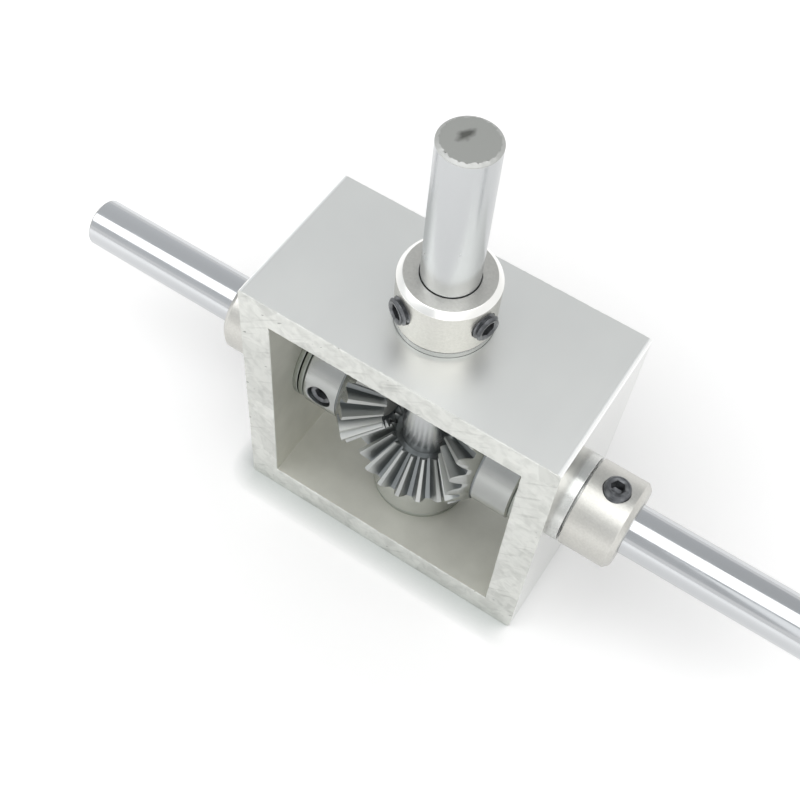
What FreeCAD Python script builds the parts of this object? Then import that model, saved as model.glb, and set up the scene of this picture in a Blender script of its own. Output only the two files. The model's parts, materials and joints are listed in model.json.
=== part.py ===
"""Three-way bevel gearbox in a slice of square aluminium tube.

Three shafts of one diameter meet inside the tube at right angles. Each carries a mitre gear, so the two
side shafts turn opposite ways at the speed of the vertical shaft. Units are millimetres, +Z is up, and the
origin is the middle of the tube's underside. The tube is open towards -Y, the front, and towards +Y.
"""
import FreeCAD, Part
import math
import os

# Housing: a sawn slice of square tube
tube_side = 50.0
tube_wall = 5.0
tube_length = 25.5
tube_edge_radius = 0.6

# Shafts
shaft_diameter = 8.0
shaft_chamfer = 0.3
shaft_relief_depth = 0.2
shaft_relief_margin = 1.0
side_shaft_projection = 38.5
top_shaft_projection = 33.0

# Mitre gears, all three alike
gear_module = 1.0
gear_teeth = 20
pressure_angle = 20.0
addendum_modules = 1.0
dedendum_modules = 1.25
backlash = 0.15
gear_bore_wall = 0.85
hub_diameter = 16.0
mesh_phase = 7.5
flank_steps = 3
root_width = 0.75

# Bearings
bearing_diameter = 14.0
bearing_width = 3.5
bearing_flange_diameter = 15.6
bearing_flange = 0.8
inner_ring_wall = 1.2
bearing_standout = 0.9

# Spacers, and the steps by which the inner rings stand proud of the fixed rings
inner_spacer_diameter = 15.6
inner_spacer_width = 0.75
inner_ring_step = 0.25
side_collar_step = 0.35
top_collar_step = 0.15

# Shaft collars
collar_diameter = 14.0
collar_width = 8.0
collar_chamfer = 0.8

# Set screws with hexagon sockets
collar_screw_diameter = 4.0
collar_screw_hexagon = 2.0
top_screw_standout = 0.9
side_screw_standout = 1.0
hub_screw_diameter = 4.0
hub_screw_hexagon = 2.0
hub_screw_inset = 0.6
socket_depth_share = 0.5

# Directions of the screws: about Z from +X for the vertical shaft, about X from +Y for the side shafts
top_screw_angles = (241.0, 344.0)
vertical_hub_screw_angle = 75.0
left_hub_screw_angle = 176.0
right_hub_screw_angle = 310.0
side_collar_screw_angle = 88.0

# Clearances on the radius
seat_clearance = 0.01
bore_clearance = 0.01
collar_clearance = 0.10
running_clearance = 0.08
thread_clearance = 0.02

# Worked-out places
shaft_radius = shaft_diameter / 2
relief_radius = shaft_radius - shaft_relief_depth
axis_height = tube_side / 2
inside_reach = tube_side / 2 - tube_wall
flange_face = inside_reach - bearing_flange
vertical_hub_reach = flange_face - inner_ring_step
side_hub_reach = vertical_hub_reach - inner_spacer_width
inner_ring_radius = shaft_radius + inner_ring_wall
bearing_radius = bearing_diameter / 2
bearing_reach = tube_side / 2 + bearing_standout
side_collar_start = bearing_reach + side_collar_step
top_collar_start = axis_height + bearing_reach + top_collar_step
bottom_bearing_end = tube_wall + bearing_flange - bearing_width

# Gear geometry: the pitch cone of a mitre gear stands at 45 degrees, with its apex where the axes meet
pitch_angle = math.radians(45.0)
pitch_radius = gear_module * gear_teeth / 2
addendum = addendum_modules * gear_module
dedendum = dedendum_modules * gear_module
tip_radius = pitch_radius + addendum * math.cos(pitch_angle)
tip_reach = pitch_radius - addendum * math.sin(pitch_angle)
root_radius = pitch_radius - dedendum * math.cos(pitch_angle)
root_reach = pitch_radius + dedendum * math.sin(pitch_angle)
small_end = (shaft_radius + gear_bore_wall) / root_radius
gear_front = small_end * root_reach
root_half_angle = math.pi / gear_teeth - root_width / (2 * root_radius)
hub_start = 2 * pitch_radius - hub_diameter / 2

ORIGIN = FreeCAD.Vector(0, 0, 0)
X_AXIS = FreeCAD.Vector(1, 0, 0)
Y_AXIS = FreeCAD.Vector(0, 1, 0)
Z_AXIS = FreeCAD.Vector(0, 0, 1)


def revolve(outline):
    """Turn a closed outline of (radius, height) points about Z."""
    points = [FreeCAD.Vector(radius, 0, height) for radius, height in outline]
    face = Part.Face(Part.makePolygon(points + points[:1]))
    return face.revolve(ORIGIN, Z_AXIS, 360)


def ring(bore_radius, outer_radius, start, end):
    """A plain ring about Z from start to end."""
    return revolve([(bore_radius, start), (outer_radius, start), (outer_radius, end), (bore_radius, end)])


def to_side(shape, side):
    """Turn a shape made along +Z so that it points out to one side, at the height of the side shafts."""
    turned = shape.copy()
    turned.rotate(ORIGIN, Y_AXIS, 90 * side)
    turned.translate(Z_AXIS * axis_height)
    return turned


def at_direction(shape, angle):
    """Turn a shape made along +X about Z to a direction in degrees."""
    turned = shape.copy()
    turned.rotate(ORIGIN, Z_AXIS, angle)
    return turned


def side_direction(angle, side):
    """The direction about the upright making axis that becomes angle about X once turned to a side."""
    depth = math.cos(math.radians(angle))
    height = math.sin(math.radians(angle))
    return math.degrees(math.atan2(depth, -side * height))


def housing():
    """Square tube with a bearing bore in each wall."""
    half = tube_side / 2
    outer = Part.makeBox(tube_side, tube_length, tube_side, FreeCAD.Vector(-half, -tube_length / 2, 0))
    long_edges = [edge for edge in outer.Edges if abs(edge.tangentAt(edge.FirstParameter).y) > 0.5]
    outer = outer.makeFillet(tube_edge_radius, long_edges)
    hollow = tube_side - 2 * tube_wall
    corner = FreeCAD.Vector(-hollow / 2, -tube_length, tube_wall)
    tube = outer.cut(Part.makeBox(hollow, 2 * tube_length, hollow, corner))
    bore_radius = bearing_radius + seat_clearance
    upright = Part.makeCylinder(bore_radius, 2 * tube_side, FreeCAD.Vector(0, 0, -half), Z_AXIS)
    side_start = FreeCAD.Vector(-tube_side, 0, axis_height)
    across = Part.makeCylinder(bore_radius, 2 * tube_side, side_start, X_AXIS)
    return tube.cut(upright).cut(across)


def shaft(start, end, collar_start):
    """Ground shaft along Z, its free end chamfered and a shallow relief turned under the collar's screws."""
    relief_end = collar_start + collar_width
    relief_start = relief_end - (collar_width + collar_screw_diameter) / 2 - shaft_relief_margin
    return revolve([
        (0, start),
        (shaft_radius, start),
        (shaft_radius, relief_start),
        (relief_radius, relief_start),
        (relief_radius, relief_end),
        (shaft_radius, relief_end),
        (shaft_radius, end - shaft_chamfer),
        (shaft_radius - shaft_chamfer, end),
        (0, end),
    ])


def involute(angle):
    """The involute function of an angle in radians."""
    return math.tan(angle) - angle


def tooth_profile():
    """One side of a tooth at its large end, from root to tip: (length along the back cone, half-angle).

    The flank is an involute of the equivalent spur gear, whose radii are lengths along the back cone.
    The half-angle is measured about the gear's own axis, from the middle of the tooth.
    """
    spur_radius = pitch_radius / math.cos(pitch_angle)
    spur_teeth = gear_teeth / math.cos(pitch_angle)
    pressure = math.radians(pressure_angle)
    base_radius = spur_radius * math.cos(pressure)
    flank_height = spur_radius + addendum - base_radius
    half_tooth = math.pi / (2 * spur_teeth) + involute(pressure) - backlash / (4 * spur_radius)
    profile = [(spur_radius - dedendum, root_half_angle)]
    for step in range(flank_steps):
        radius = base_radius + flank_height * step / (flank_steps - 1)
        spur_angle = half_tooth - involute(math.acos(base_radius / radius))
        profile.append((radius, spur_angle / math.cos(pitch_angle)))
    return profile


def on_back_cone(length, angle):
    """A point of the gear's large end, the pitch cone's apex being the origin with the gear below it."""
    radius = length * math.cos(pitch_angle)
    height = length * math.sin(pitch_angle) - 2 * pitch_radius
    return FreeCAD.Vector(radius * math.cos(angle), radius * math.sin(angle), height)


def flat_face(corners):
    """A flat face round its corners."""
    return Part.Face(Part.makePolygon(corners + corners[:1]))


def toothed_rim(phase):
    """The teeth and the solid between them, flat-sided, with every edge along a tooth aimed at the apex."""
    profile = tooth_profile()
    outline = []
    for index in range(gear_teeth):
        middle = math.radians(phase) + 2 * math.pi * index / gear_teeth
        outline += [(length, middle - angle) for length, angle in profile]
        outline += [(length, middle + angle) for length, angle in reversed(profile)]
    large_end = [on_back_cone(length, angle) for length, angle in outline]
    toe_end = [corner * small_end for corner in large_end]
    faces = []
    for index in range(len(outline)):
        faces.append(flat_face([large_end[index - 1], large_end[index], toe_end[index], toe_end[index - 1]]))
    for corners in (large_end, toe_end):
        roots = []
        for first in range(0, len(corners), 2 * len(profile)):
            tooth = corners[first:first + 2 * len(profile)]
            roots += [tooth[0], tooth[-1]]
            for step in range(len(profile) - 1):
                faces.append(flat_face([tooth[step], tooth[step + 1], tooth[-step - 2], tooth[-step - 1]]))
        faces.append(flat_face(roots))
    return Part.Solid(Part.Shell(faces))


def gear(phase, hub_reach):
    """Mitre gear below its apex at the origin, hub downwards; phase turns the first tooth from +X."""
    hub_radius = hub_diameter / 2
    web_radius = root_radius * math.cos(root_half_angle)
    hub = revolve([
        (0, -root_reach),
        (web_radius, -root_reach),
        (hub_radius, -hub_start),
        (hub_radius, -hub_reach),
        (0, -hub_reach),
    ])
    bore = Part.makeCylinder(shaft_radius + bore_clearance, hub_reach, ORIGIN, -Z_AXIS)
    return toothed_rim(phase).fuse(hub).cut(bore).removeSplitter()


def screw_hole(diameter, reach, angle, height):
    """Radial tapped hole from the axis outwards."""
    hole = Part.makeCylinder(diameter / 2 + thread_clearance, reach, FreeCAD.Vector(0, 0, height), X_AXIS)
    return at_direction(hole, angle)


def set_screw(diameter, hexagon, seat_radius, outer_end, angle, height):
    """Socket set screw, its flat point against the shaft and its socket at outer_end from the axis."""
    point = seat_radius + bore_clearance
    body = revolve([
        (0, point),
        (diameter / 2, point),
        (diameter / 2, outer_end),
        (0, outer_end),
    ])
    depth = (outer_end - point) * socket_depth_share
    corner_radius = hexagon / math.sqrt(3)
    corners = []
    for index in range(7):
        turn = math.radians(60 * index)
        corners.append(FreeCAD.Vector(corner_radius * math.cos(turn), corner_radius * math.sin(turn), 0))
    socket = Part.Face(Part.makePolygon(corners)).extrude(Z_AXIS * depth)
    socket.translate(Z_AXIS * (outer_end - depth))
    screw = body.cut(socket)
    screw.rotate(ORIGIN, Y_AXIS, 90)
    screw.translate(Z_AXIS * height)
    return at_direction(screw, angle)


def collar(start, screw_angles):
    """Shaft collar about Z, chamfered at its free end, with a tapped hole for each screw."""
    bore_radius = shaft_radius + collar_clearance
    outer_radius = collar_diameter / 2
    end = start + collar_width
    solid = revolve([
        (bore_radius, start),
        (outer_radius, start),
        (outer_radius, end - collar_chamfer),
        (outer_radius - collar_chamfer, end),
        (bore_radius, end),
    ])
    middle = start + collar_width / 2
    for angle in screw_angles:
        solid = solid.cut(screw_hole(collar_screw_diameter, collar_diameter, angle, middle))
    return solid


def bearing_outer_ring(flange_face, direction, length):
    """Flanged outer ring with its shields, from the flange's free face along direction."""
    bore = inner_ring_radius + running_clearance
    seat = flange_face + direction * bearing_flange
    end = flange_face + direction * length
    return revolve([
        (bore, flange_face),
        (bearing_flange_diameter / 2, flange_face),
        (bearing_flange_diameter / 2, seat),
        (bearing_radius, seat),
        (bearing_radius, end),
        (bore, end),
    ])


def bearing_inner_ring(start, end):
    """Inner ring, a push fit on the shaft."""
    return ring(shaft_radius + bore_clearance, inner_ring_radius, start, end)


def vertical_parts():
    """Everything about the vertical axis, with the fixed rings of its two bearings."""
    apex = Z_AXIS * axis_height
    wheel = gear(mesh_phase, vertical_hub_reach)
    screw_height = -(hub_start + vertical_hub_reach) / 2
    wheel = wheel.cut(screw_hole(hub_screw_diameter, hub_diameter, vertical_hub_screw_angle, screw_height))
    screw_end = hub_diameter / 2 - hub_screw_inset
    wheel_screw = set_screw(
        hub_screw_diameter, hub_screw_hexagon, shaft_radius, screw_end,
        vertical_hub_screw_angle, screw_height)
    wheel.translate(apex)
    wheel_screw.translate(apex)
    collar_middle = top_collar_start + collar_width / 2
    collar_screw_end = collar_diameter / 2 + top_screw_standout
    collar_screws = [
        set_screw(
            collar_screw_diameter, collar_screw_hexagon, relief_radius, collar_screw_end,
            angle, collar_middle)
        for angle in top_screw_angles
    ]
    return {
        "vertical_shaft": shaft(bottom_bearing_end, tube_side + top_shaft_projection, top_collar_start),
        "vertical_gear": wheel,
        "vertical_gear_set_screw": wheel_screw,
        "top_collar": collar(top_collar_start, top_screw_angles),
        "top_collar_set_screws": Part.makeCompound(collar_screws),
        "top_bearing_outer_ring": bearing_outer_ring(
            axis_height + flange_face, 1, bearing_reach - flange_face),
        "top_bearing_inner_ring": bearing_inner_ring(axis_height + flange_face, top_collar_start),
        "bottom_bearing_outer_ring": bearing_outer_ring(axis_height - flange_face, -1, bearing_width),
        "bottom_bearing_inner_ring": bearing_inner_ring(
            bottom_bearing_end, axis_height - vertical_hub_reach),
    }


def side_parts(name, side, hub_screw_angle):
    """Everything about one side shaft, made along +Z from the apex and then turned to its side."""
    ring_start = flange_face - inner_ring_step
    screw_height = (hub_start + side_hub_reach) / 2
    hub_direction = side_direction(hub_screw_angle, side)
    collar_direction = side_direction(side_collar_screw_angle, side)
    half_tooth = 180.0 / gear_teeth
    wheel = gear(half_tooth, side_hub_reach)
    wheel.rotate(ORIGIN, X_AXIS, 180)
    wheel = at_direction(wheel, mesh_phase)
    wheel = wheel.cut(screw_hole(hub_screw_diameter, hub_diameter, hub_direction, screw_height))
    screw_end = hub_diameter / 2 - hub_screw_inset
    collar_screw_end = collar_diameter / 2 + side_screw_standout
    bore = shaft_radius + bore_clearance
    parts = {
        "shaft": shaft(gear_front, tube_side / 2 + side_shaft_projection, side_collar_start),
        "gear": wheel,
        "gear_set_screw": set_screw(
            hub_screw_diameter, hub_screw_hexagon, shaft_radius, screw_end, hub_direction, screw_height),
        "bearing_outer_ring": bearing_outer_ring(flange_face, 1, bearing_reach - flange_face),
        "bearing_inner_ring": bearing_inner_ring(ring_start, side_collar_start),
        "inner_spacer": ring(bore, inner_spacer_diameter / 2, side_hub_reach, ring_start),
        "collar": collar(side_collar_start, [collar_direction]),
        "collar_set_screw": set_screw(
            collar_screw_diameter, collar_screw_hexagon, relief_radius, collar_screw_end, collar_direction,
            side_collar_start + collar_width / 2),
    }
    return {f"{name}_{part}": to_side(solid, side) for part, solid in parts.items()}


def build():
    """Make every piece, keyed by its node name."""
    pieces = {"housing": housing()}
    pieces.update(vertical_parts())
    pieces.update(side_parts("left", -1, left_hub_screw_angle))
    pieces.update(side_parts("right", 1, right_hub_screw_angle))
    return pieces


os.makedirs("parts", exist_ok=True)
for node, piece in build().items():
    piece.exportStep(f"parts/{node}.step")
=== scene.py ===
"""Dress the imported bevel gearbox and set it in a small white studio.

Three chromed shafts meet at right angles in a slice of square aluminium tube and drive each other through
mitre gears. Every CAD node gets a finished piece in its own place. Lengths are millimetres until a mesh is
made, where they become metres; +Z is up and the tube's open front faces -Y.
"""
from __future__ import annotations

import json
import logging
import math
from dataclasses import dataclass, replace
from enum import Enum

import bmesh
import bpy
from mathutils import Matrix, Vector, noise


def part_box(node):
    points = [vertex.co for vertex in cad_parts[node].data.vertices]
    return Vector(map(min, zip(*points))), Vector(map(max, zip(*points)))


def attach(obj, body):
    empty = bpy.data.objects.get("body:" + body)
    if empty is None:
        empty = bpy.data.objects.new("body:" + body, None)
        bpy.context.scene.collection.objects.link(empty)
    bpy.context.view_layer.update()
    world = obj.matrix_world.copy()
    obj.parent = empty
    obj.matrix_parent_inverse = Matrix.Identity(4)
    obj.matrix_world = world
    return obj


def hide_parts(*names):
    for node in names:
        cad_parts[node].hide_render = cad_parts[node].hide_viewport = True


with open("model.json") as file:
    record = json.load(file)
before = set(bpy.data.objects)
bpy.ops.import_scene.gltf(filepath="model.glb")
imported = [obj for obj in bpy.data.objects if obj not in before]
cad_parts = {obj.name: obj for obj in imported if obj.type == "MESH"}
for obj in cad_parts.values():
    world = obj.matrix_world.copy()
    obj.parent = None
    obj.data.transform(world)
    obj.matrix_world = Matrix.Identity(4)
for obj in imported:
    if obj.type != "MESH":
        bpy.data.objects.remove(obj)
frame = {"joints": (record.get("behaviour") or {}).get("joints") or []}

LOG = logging.getLogger("gearbox")
MM = 0.001
AXIS_HEIGHT = frame["joints"][0]["pos_m"][2] / MM
# How finely turned pieces, holes, rounded corners and eased edges are divided
TURN_SEGMENTS = 128
HOLE_SEGMENTS = 64
CORNER_STEPS = 4
EDGE_SEGMENTS = 2
# The share of a short side that a rounded corner may take
CORNER_SHARE = 0.45
# Edges that turn more than this stay sharp
SMOOTH_ANGLE = math.radians(40.0)
# Points closer than this become one, within a piece and where its copies meet
WELD_DISTANCE = 1e-4
COPY_WELD_DISTANCE = 0.002
# The play between a shaft and what sits on it
CLEARANCE = 0.01

# Places of the Mix node's sockets in its colour mode
MIX_AMOUNT = 0
MIX_FIRST = 6
MIX_SECOND = 7
MIX_RESULT = 2

Profile = list[tuple[float, float]]


def linear(hex_colour: str) -> tuple[float, float, float, float]:
    """Turn an sRGB hex colour into linear light.

    Args:
        hex_colour: six hex digits after a hash.
    Returns:
        Red, green, blue and an alpha of one.
    """
    values = []
    for start in (1, 3, 5):
        value = int(hex_colour[start:start + 2], 16) / 255
        values.append(value / 12.92 if value <= 0.04045 else ((value + 0.055) / 1.055) ** 2.4)
    return (*values, 1.0)


def per(size: float) -> float:
    """The texture scale whose features are about this many millimetres across."""
    return 1 / (size * MM)


def in_metres(place: Matrix) -> Matrix:
    """The same move for a mesh that is in metres already."""
    return Matrix.Scale(MM, 4) @ place @ Matrix.Scale(1 / MM, 4)


def add_node(
    tree: bpy.types.NodeTree,
    kind: str,
    settings: dict[str, object] | None = None,
    inputs: dict[str | int, object] | None = None,
) -> bpy.types.Node:
    """Add a node with its settings, and link or set its inputs.

    Args:
        tree: the tree that gets the node.
        kind: the node's type name.
        settings: attributes of the node.
        inputs: sockets to link, or values to set, by input name or place.
    Returns:
        The new node.
    """
    node = tree.nodes.new(kind)
    for key, value in (settings or {}).items():
        setattr(node, key, value)
    for key, value in (inputs or {}).items():
        if isinstance(value, bpy.types.NodeSocket):
            tree.links.new(value, node.inputs[key])
        else:
            node.inputs[key].default_value = value
    return node


class Direction(Enum):
    """Which way a drive line points from the place where the axes meet."""

    UP = "vertical"
    LEFT = "left"
    RIGHT = "right"

    @property
    def body(self) -> str:
        """The body that turns with this line."""
        return f"{self.value}_drive"

    @property
    def hub_side(self) -> int:
        """Which way the gear's hub points along this line: back on the vertical one, else outwards."""
        return -1 if self is Direction.UP else 1

    def place(self) -> Matrix:
        """Find the place of a piece that is made along +Z from the meeting point.

        Returns:
            The matrix that takes it to this line.
        """
        turns = {Direction.UP: 0.0, Direction.LEFT: -90.0, Direction.RIGHT: 90.0}
        turn = Matrix.Rotation(math.radians(turns[self]), 4, "Y")
        return Matrix.Translation((0, 0, AXIS_HEIGHT)) @ turn

    def along(self, node: str) -> tuple[float, float]:
        """Find how far a node reaches along this line.

        Args:
            node: the name of a CAD node.
        Returns:
            Its near and far end from the meeting point.
        """
        low, high = (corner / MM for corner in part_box(node))
        if self is Direction.UP:
            return low.z - AXIS_HEIGHT, high.z - AXIS_HEIGHT
        if self is Direction.LEFT:
            return -high.x, -low.x
        return low.x, high.x

    def making_angle(self, angle: float) -> float:
        """Find the direction about +Z that becomes an angle about X once a piece is turned to a side line.

        Args:
            angle: degrees about X from +Y.
        Returns:
            Degrees about the axis that the piece is made along.
        """
        sign = 1 if self is Direction.RIGHT else -1
        depth = math.cos(math.radians(angle))
        height = math.sin(math.radians(angle))
        return math.degrees(math.atan2(depth, -sign * height))


def half_width(node: str) -> float:
    """Half of a turned node's greatest width across Y, which every line lies across."""
    low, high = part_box(node)
    return (high.y - low.y) / 2 / MM


def to_object(name: str, body: bmesh.types.BMesh, place: Matrix) -> bpy.types.Object:
    """Make an object at the origin from a bmesh in millimetres.

    Args:
        name: the piece's name.
        body: the mesh, which is freed.
        place: where the mesh goes, in millimetres.
    Returns:
        The linked object, smooth-shaded up to the sharp corners.
    """
    bmesh.ops.remove_doubles(body, verts=body.verts, dist=WELD_DISTANCE)
    bmesh.ops.recalc_face_normals(body, faces=body.faces)
    body.transform(Matrix.Scale(MM, 4) @ place)
    mesh = bpy.data.meshes.new(name)
    body.to_mesh(mesh)
    body.free()
    mesh.shade_smooth()
    mesh.set_sharp_from_angle(angle=SMOOTH_ANGLE)
    obj = bpy.data.objects.new(name, mesh)
    bpy.context.scene.collection.objects.link(obj)
    return obj


def settle(obj: bpy.types.Object) -> None:
    """Turn an object's modifiers into its plain mesh.

    Args:
        obj: the object.
    """
    graph = bpy.context.evaluated_depsgraph_get()
    mesh = bpy.data.meshes.new_from_object(
        obj.evaluated_get(graph), preserve_all_data_layers=True, depsgraph=graph)
    old = obj.data
    obj.modifiers.clear()
    obj.data = mesh
    mesh.name = old.name
    bpy.data.meshes.remove(old)


def cut(obj: bpy.types.Object, cutter: bpy.types.Object) -> None:
    """Take a cutter out of an object and remove the cutter.

    Args:
        obj: the object that is cut.
        cutter: the shape to take out.
    """
    modifier = obj.modifiers.new("cut", "BOOLEAN")
    modifier.operation = "DIFFERENCE"
    modifier.solver = "EXACT"
    modifier.object = cutter
    settle(obj)
    bpy.data.objects.remove(cutter)


def ease_edges(obj: bpy.types.Object, width: float) -> None:
    """Break the sharp edges of an object.

    Args:
        obj: the object.
        width: the width of the broken edge.
    """
    bevel = obj.modifiers.new("edges", "BEVEL")
    bevel.width = width * MM
    bevel.segments = EDGE_SEGMENTS
    bevel.limit_method = "ANGLE"
    bevel.angle_limit = SMOOTH_ANGLE
    settle(obj)
    obj.data.shade_smooth()


def even_shading(obj: bpy.types.Object) -> None:
    """Let the large faces lead the shading, so that flats stay flat beside rounded edges.

    Args:
        obj: the object.
    """
    obj.data.shade_smooth()
    obj.data.set_sharp_from_angle(angle=SMOOTH_ANGLE)
    normals = obj.modifiers.new("normals", "WEIGHTED_NORMAL")
    normals.keep_sharp = True
    settle(obj)


def rounded(points: Profile, radius: float, closed: bool) -> Profile:
    """Round the corners of a profile.

    Args:
        points: the corners as (radius, height).
        radius: the rounding, which short sides reduce.
        closed: whether the last corner joins the first.
    Returns:
        The profile with a short curve at each corner.
    """
    smooth: Profile = []
    for index, point in enumerate(points):
        is_end = not closed and index in (0, len(points) - 1)
        if is_end:
            smooth.append(point)
            continue
        corner = Vector(point)
        before = Vector(points[index - 1]) - corner
        after = Vector(points[(index + 1) % len(points)]) - corner
        reach = min(radius, CORNER_SHARE * before.length, CORNER_SHARE * after.length)
        first = corner + before.normalized() * reach
        last = corner + after.normalized() * reach
        for step in range(CORNER_STEPS + 1):
            share = step / CORNER_STEPS
            near = first.lerp(corner, share)
            far = corner.lerp(last, share)
            smooth.append(tuple(near.lerp(far, share)))
    return smooth


def lathe(profile: Profile, closed: bool, segments: int = TURN_SEGMENTS) -> bmesh.types.BMesh:
    """Turn a profile about Z.

    Args:
        profile: points as (radius, height).
        closed: whether the profile is a ring's section, rather than a line from axis to axis.
        segments: how many faces go round.
    Returns:
        The turned mesh.
    """
    body = bmesh.new()
    rings = []
    for radius, height in profile:
        ring = []
        for index in range(segments):
            angle = 2 * math.pi * index / segments
            ring.append(body.verts.new((radius * math.cos(angle), radius * math.sin(angle), height)))
        rings.append(ring)
    pairs = list(zip(rings, rings[1:]))
    if closed:
        pairs.append((rings[-1], rings[0]))
    for lower, upper in pairs:
        for index in range(segments):
            after = (index + 1) % segments
            body.faces.new((lower[index], lower[after], upper[after], upper[index]))
    return body


def turned(name: str, profile: Profile, place: Matrix, edge: float, closed: bool = True) -> bpy.types.Object:
    """Make a turned piece with eased corners.

    Args:
        name: the piece's name.
        profile: its section as (radius, height).
        place: where it goes.
        edge: the rounding of its corners.
        closed: false for a solid piece whose profile runs from axis to axis.
    Returns:
        The piece.
    """
    return to_object(name, lathe(rounded(profile, edge, closed), closed), place)


class CopiesRoundAxis:
    """A Geometry Nodes tree that repeats a mesh about Z, such as a tooth or a set screw."""

    INPUTS = {
        "Geometry": "NodeSocketGeometry",
        "Count": "NodeSocketInt",
        "Step": "NodeSocketFloat",
        "Weld": "NodeSocketFloat",
        "Finish": "NodeSocketMaterial",
    }

    def __init__(self) -> None:
        """Build the tree once, with named inputs for how many copies and how far apart."""
        self.tree = bpy.data.node_groups.new("copies_round_axis", "GeometryNodeTree")
        interface = self.tree.interface
        for name, kind in self.INPUTS.items():
            interface.new_socket(name, in_out="INPUT", socket_type=kind)
        interface.new_socket("Geometry", in_out="OUTPUT", socket_type=self.INPUTS["Geometry"])
        given = add_node(self.tree, "NodeGroupInput").outputs
        points = add_node(
            self.tree, "GeometryNodeMeshLine", {"mode": "OFFSET"},
            {"Count": given["Count"], "Offset": (0, 0, 0)})
        index = add_node(self.tree, "GeometryNodeInputIndex")
        turn = add_node(
            self.tree, "ShaderNodeMath", {"operation": "MULTIPLY"},
            {0: index.outputs["Index"], 1: given["Step"]})
        about_z = add_node(self.tree, "ShaderNodeCombineXYZ", inputs={"Z": turn.outputs["Value"]})
        copies = add_node(
            self.tree, "GeometryNodeInstanceOnPoints",
            inputs={"Points": points.outputs["Mesh"], "Instance": given["Geometry"],
                    "Rotation": about_z.outputs["Vector"]})
        real = add_node(
            self.tree, "GeometryNodeRealizeInstances", inputs={"Geometry": copies.outputs["Instances"]})
        welded = add_node(
            self.tree, "GeometryNodeMergeByDistance",
            inputs={"Geometry": real.outputs["Geometry"], "Distance": given["Weld"]})
        dressed = add_node(
            self.tree, "GeometryNodeSetMaterial",
            inputs={"Geometry": welded.outputs["Geometry"], "Material": given["Finish"]})
        add_node(self.tree, "NodeGroupOutput", inputs={"Geometry": dressed.outputs["Geometry"]})

    def apply(self, obj: bpy.types.Object, count: int, step: float, finish: bpy.types.Material) -> None:
        """Repeat an object's mesh about Z and keep the result as its plain mesh.

        Args:
            obj: the object, whose mesh is one copy.
            count: how many copies.
            step: the turn from each copy to the next, in radians.
            finish: the material of them all.
        """
        modifier = obj.modifiers.new("copies", "NODES")
        modifier.node_group = self.tree
        values = {"Count": count, "Step": step, "Weld": COPY_WELD_DISTANCE * MM, "Finish": finish}
        for item in self.tree.interface.items_tree:
            if item.in_out == "INPUT" and item.name in values:
                modifier[item.identifier] = values[item.name]
        settle(obj)


@dataclass
class Patterns:
    """What varies over a finish: sockets for the tint, the roughness and the relief, each where there is one.

    The tint is zero for the finish's colour and one for its second colour. The relief runs from zero to one.
    """

    tint: bpy.types.NodeSocket | None = None
    roughness: bpy.types.NodeSocket | None = None
    relief: bpy.types.NodeSocket | None = None


@dataclass(frozen=True)
class Finish:
    """A surface finish: its material's name, colours, roughness, metal share and depth of relief."""

    name: str
    colour: str
    roughness: float
    second_colour: str = ""
    metallic: float = 1.0
    depth: float = 0.0

    def material(self) -> bpy.types.Material:
        """Make the finish's material, or find it where it is made already.

        Returns:
            The material.
        """
        found = bpy.data.materials.get(self.name)
        if found:
            return found
        material = bpy.data.materials.new(self.name)
        material.use_nodes = True
        tree = material.node_tree
        shader = tree.nodes["Principled BSDF"]
        shader.inputs["Base Color"].default_value = linear(self.colour)
        shader.inputs["Roughness"].default_value = self.roughness
        shader.inputs["Metallic"].default_value = self.metallic
        patterns = self.patterns(tree, add_node(tree, "ShaderNodeTexCoord").outputs["Object"])
        if patterns.tint is not None:
            mix = add_node(
                tree, "ShaderNodeMix", {"data_type": "RGBA"},
                {MIX_AMOUNT: patterns.tint, MIX_FIRST: linear(self.colour),
                 MIX_SECOND: linear(self.second_colour)})
            tree.links.new(mix.outputs[MIX_RESULT], shader.inputs["Base Color"])
        if patterns.roughness is not None:
            tree.links.new(patterns.roughness, shader.inputs["Roughness"])
        if patterns.relief is not None:
            bump = add_node(
                tree, "ShaderNodeBump", inputs={"Height": patterns.relief, "Distance": self.depth * MM})
            tree.links.new(bump.outputs["Normal"], shader.inputs["Normal"])
        return material

    def patterns(self, tree: bpy.types.NodeTree, where: bpy.types.NodeSocket) -> Patterns:
        """No patterns; each finish has its own."""
        return Patterns()


@dataclass(frozen=True)
class CloudedMetal(Finish):
    """Metal with soft clouds: in its roughness where it has a haze, and in its tint where it has none.

    The haze is how far the roughness strays down and up.
    """

    cloud: float = 3.0
    cloud_detail: float = 3.0
    cloud_range: tuple[float, float] = (0.0, 1.0)
    haze: tuple[float, float] | None = None
    grain: float = 0.0
    grain_detail: float = 2.0

    def patterns(self, tree: bpy.types.NodeTree, where: bpy.types.NodeSocket) -> Patterns:
        """Add the clouds, and a fine tooth where there is a grain.

        Args:
            tree: the material's tree.
            where: the piece's own coordinates in metres.
        Returns:
            The patterns.
        """
        patterns = Patterns()
        clouds = add_node(
            tree, "ShaderNodeTexNoise",
            inputs={"Vector": where, "Scale": per(self.cloud), "Detail": self.cloud_detail})
        start, end = self.cloud_range
        amount = add_node(
            tree, "ShaderNodeMapRange",
            inputs={"Value": clouds.outputs["Fac"], "From Min": start, "From Max": end})
        if self.haze:
            low, high = self.haze
            amount.inputs["To Min"].default_value = self.roughness + low
            amount.inputs["To Max"].default_value = self.roughness + high
            patterns.roughness = amount.outputs["Result"]
        else:
            patterns.tint = amount.outputs["Result"]
        if self.grain:
            tooth = add_node(
                tree, "ShaderNodeTexNoise",
                inputs={"Vector": where, "Scale": per(self.grain), "Detail": self.grain_detail})
            patterns.relief = tooth.outputs["Fac"]
        return patterns


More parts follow.
